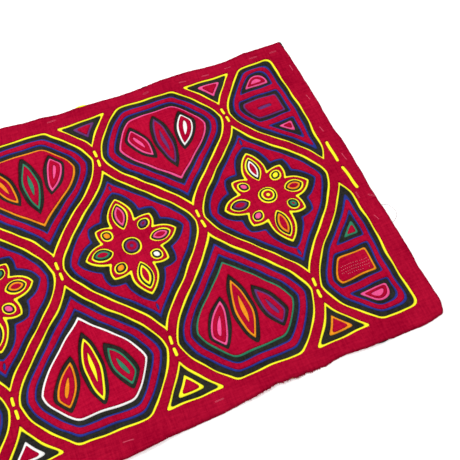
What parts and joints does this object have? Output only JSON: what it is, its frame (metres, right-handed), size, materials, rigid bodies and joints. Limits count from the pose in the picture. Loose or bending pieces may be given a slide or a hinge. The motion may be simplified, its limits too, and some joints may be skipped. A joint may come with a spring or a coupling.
{
  "type": "mola panel",
  "caption": "Flat rectangular panel of layered cotton in reverse applique: red top cloth cut open over yellow and black, with flowers, leaves and nested fillers.",
  "frame": {"origin": "middle of the panel's bounding box, on the surface it lies on", "axes": "+X along the panel's width, +Y up the panel as it is worn, +Z out of its face"},
  "size_m": [0.4222, 0.3222, 0.0042],
  "materials": {
    "black_cotton": "plain woven cotton, matte",
    "blue_cotton": "plain woven cotton, matte",
    "green_cotton": "plain woven cotton, matte",
    "orange_cotton": "plain woven cotton, matte",
    "pink_cotton": "plain woven cotton, matte",
    "purple_cotton": "plain woven cotton, matte",
    "red_cotton": "plain woven cotton, matte",
    "red_fill_cotton": "plain woven cotton, matte",
    "white_cotton": "plain woven cotton, matte",
    "yellow_cotton": "plain woven cotton, matte"
  },
  "bodies": {
    "root": {"ground_cloth": "black_cotton", "yellow_cloth": "yellow_cotton", "top_cloth": "red_cotton", "flower_left_blue": "blue_cotton", "flower_left_fill": "red_fill_cotton", "flower_left_edge": "yellow_cotton", "flower_left_top": "red_fill_cotton", "flower_middle_blue": "blue_cotton", "flower_middle_fill": "red_fill_cotton", "flower_middle_edge": "yellow_cotton", "flower_middle_top": "red_fill_cotton", "flower_right_blue": "blue_cotton", "flower_right_fill": "red_fill_cotton", "flower_right_edge": "yellow_cotton", "flower_right_top": "red_fill_cotton", "fan_upper_left_blue": "blue_cotton", "fan_upper_left_fill": "red_fill_cotton", "fan_upper_left_edge": "orange_cotton", "fan_upper_left_top": "red_fill_cotton", "fan_upper_right_blue": "blue_cotton", "fan_upper_right_fill": "red_fill_cotton", "fan_upper_right_edge": "pink_cotton", "fan_upper_right_top": "red_fill_cotton", "fan_lower_left_blue": "blue_cotton", "fan_lower_left_fill": "red_fill_cotton", "fan_lower_left_edge": "white_cotton", "fan_lower_left_top": "red_fill_cotton", "fan_lower_right_blue": "blue_cotton", "fan_lower_right_fill": "red_fill_cotton", "fan_lower_right_edge": "green_cotton", "fan_lower_right_top": "red_fill_cotton", "corner_upper_left_blue": "blue_cotton", "corner_upper_left_fill": "red_fill_cotton", "corner_upper_right_blue": "blue_cotton", "corner_upper_right_fill": "red_fill_cotton", "corner_lower_left_blue": "blue_cotton", "corner_lower_left_fill": "red_fill_cotton", "corner_lower_right_blue": "blue_cotton", "corner_lower_right_fill": "red_fill_cotton", "wedge_upper_left_edge": "pink_cotton", "wedge_upper_left_top": "red_fill_cotton", "wedge_upper_middle_edge": "purple_cotton", "wedge_upper_middle_top": "red_fill_cotton", "wedge_upper_right_edge": "pink_cotton", "wedge_upper_right_top": "red_fill_cotton", "wedge_lower_left_edge": "white_cotton", "wedge_lower_left_top": "red_fill_cotton", "wedge_lower_middle_edge": "yellow_cotton", "wedge_lower_middle_top": "red_fill_cotton", "wedge_lower_right_edge": "orange_cotton", "wedge_lower_right_top": "red_fill_cotton"}
  },
  "joints": []
}
